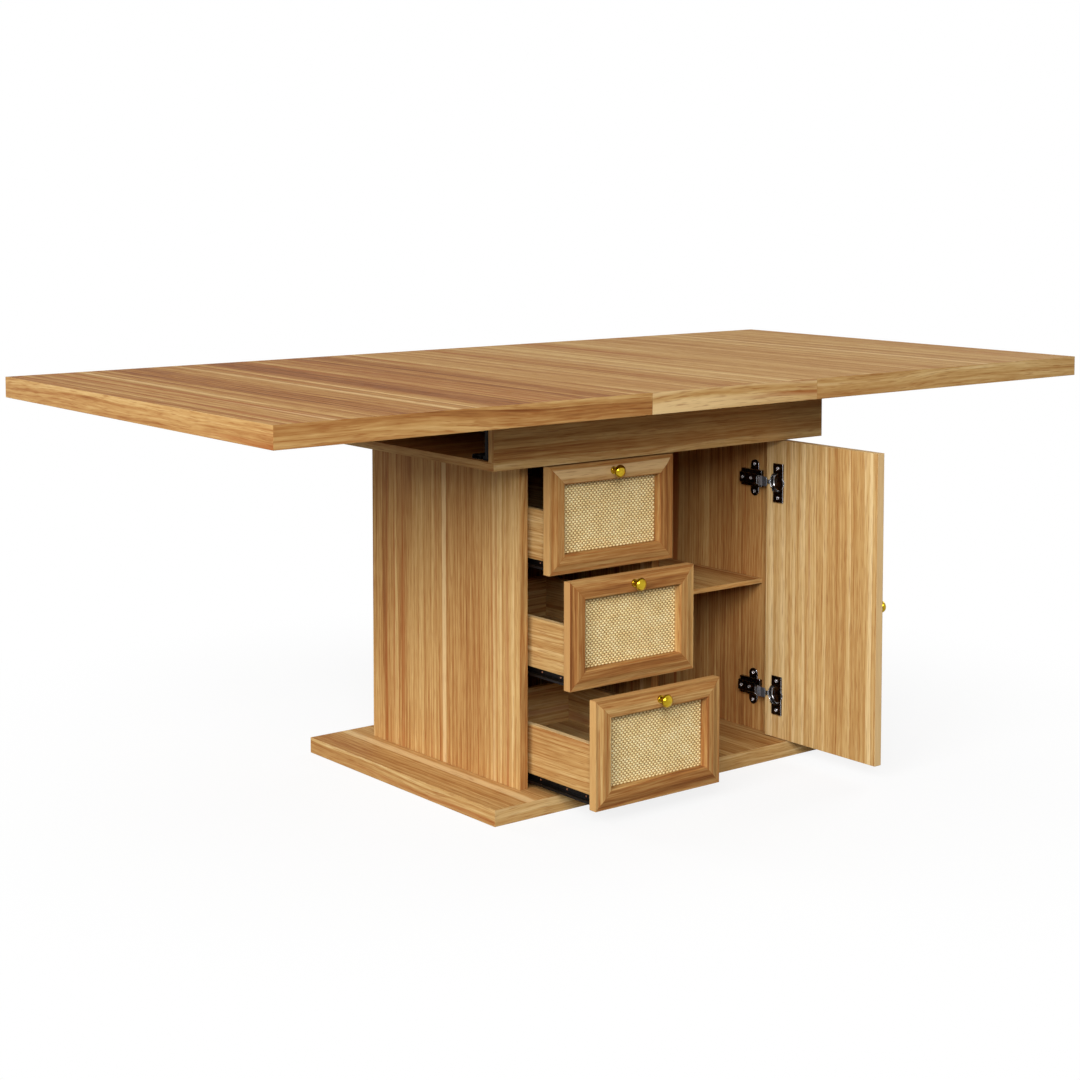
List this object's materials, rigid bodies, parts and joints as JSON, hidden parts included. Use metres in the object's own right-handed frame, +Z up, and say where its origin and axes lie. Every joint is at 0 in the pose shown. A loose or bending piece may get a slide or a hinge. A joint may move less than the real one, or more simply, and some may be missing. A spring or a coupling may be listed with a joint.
{
  "type": "kitchen table with storage cabinet",
  "caption": "Extending wooden kitchen table on a storage pedestal with rattan-fronted drawers, a hinged cupboard door with a shelf, a loose middle leaf and sliding end leaves.",
  "frame": {"origin": "on the floor under the middle of the table top, at the centre of the foot board's underside", "axes": "+X along the top's length towards the cupboard door, -Y towards the drawer side, +Z up"},
  "size_m": [1.9, 1.006, 0.76],
  "materials": {
    "top_wood": "satin veneer",
    "cabinet_wood": "satin veneer",
    "front_wood": "satin veneer",
    "drawer_wood": "satin veneer",
    "beech_pin": "bare",
    "rattan": "woven cane",
    "knob_brass": "polished",
    "runner_black": "black enamel",
    "hinge_steel": "plated",
    "bright_steel": "plated",
    "slide_metal": "mill"
  },
  "bodies": {
    "pedestal": {"foot_board": "cabinet_wood", "left_side_board": "cabinet_wood", "right_side_board": "cabinet_wood", "middle_board": "cabinet_wood", "back_panel": "cabinet_wood", "cupboard_shelf": "cabinet_wood", "tray_floor": "cabinet_wood", "tray_front_rail": "cabinet_wood", "tray_rear_rail": "cabinet_wood", "shelf_pins": "bright_steel", "middle_leaf": "top_wood", "leaf_pins": "beech_pin", "leaf_channels": "slide_metal", "hinge_pins": "bright_steel", "plate_screws": "bright_steel", "bottom_drawer_rails": "runner_black", "middle_drawer_rails": "runner_black", "top_drawer_rails": "runner_black", "lower_hinge_plate": "runner_black", "lower_hinge_arm": "hinge_steel", "upper_hinge_plate": "runner_black", "upper_hinge_arm": "hinge_steel"},
    "left_end": {"left_leaf": "top_wood", "left_leaf_slide_bars": "slide_metal"},
    "right_end": {"right_leaf": "top_wood", "right_leaf_slide_bars": "slide_metal"},
    "door": {"door_panel": "front_wood", "door_rattan": "rattan", "door_knob": "knob_brass", "lower_hinge_cup": "bright_steel", "upper_hinge_cup": "bright_steel", "cup_screws": "bright_steel"},
    "hinge_links": {"lower_hinge_link": "hinge_steel", "upper_hinge_link": "hinge_steel"},
    "bottom_drawer": {"bottom_drawer_front": "front_wood", "bottom_drawer_rattan": "rattan", "bottom_drawer_knob": "knob_brass", "bottom_drawer_left_side": "drawer_wood", "bottom_drawer_right_side": "drawer_wood", "bottom_drawer_back": "drawer_wood", "bottom_drawer_floor": "drawer_wood", "bottom_drawer_runners": "runner_black"},
    "middle_drawer": {"middle_drawer_front": "front_wood", "middle_drawer_rattan": "rattan", "middle_drawer_knob": "knob_brass", "middle_drawer_left_side": "drawer_wood", "middle_drawer_right_side": "drawer_wood", "middle_drawer_back": "drawer_wood", "middle_drawer_floor": "drawer_wood", "middle_drawer_runners": "runner_black"},
    "top_drawer": {"top_drawer_front": "front_wood", "top_drawer_rattan": "rattan", "top_drawer_knob": "knob_brass", "top_drawer_left_side": "drawer_wood", "top_drawer_right_side": "drawer_wood", "top_drawer_back": "drawer_wood", "top_drawer_floor": "drawer_wood", "top_drawer_runners": "runner_black"}
  },
  "joints": [
    {"name": "left_leaf_slide", "type": "slide", "parent": "pedestal", "child": "left_end", "axis": [-1, 0, 0], "range_m": [0, 0.04]},
    {"name": "right_leaf_slide", "type": "slide", "parent": "pedestal", "child": "right_end", "axis": [1, 0, 0], "range_m": [0, 0.04]},
    {"name": "bottom_drawer_slide", "type": "slide", "parent": "pedestal", "child": "bottom_drawer", "axis": [0, -1, 0], "range_m": [-0.189, 0.111]},
    {"name": "middle_drawer_slide", "type": "slide", "parent": "pedestal", "child": "middle_drawer", "axis": [0, -1, 0], "range_m": [-0.118, 0.182]},
    {"name": "top_drawer_slide", "type": "slide", "parent": "pedestal", "child": "top_drawer", "axis": [0, -1, 0], "range_m": [-0.06, 0.24]},
    {"name": "door_hinge", "type": "hinge", "parent": "pedestal", "child": "door", "pos_m": [0.3235, -0.238, 0.3255], "axis": [0, 0, 1], "range_deg": [-90, 5]},
    {"name": "hinge_link_turn", "type": "hinge", "parent": "pedestal", "child": "hinge_links", "pos_m": [0.299, -0.223, 0.3255], "axis": [0, 0, 1], "range_deg": [-90, 5]}
  ],
  "couplings": [
    {"joint": "hinge_link_turn", "follows": "door_hinge", "ratio": 1}
  ]
}
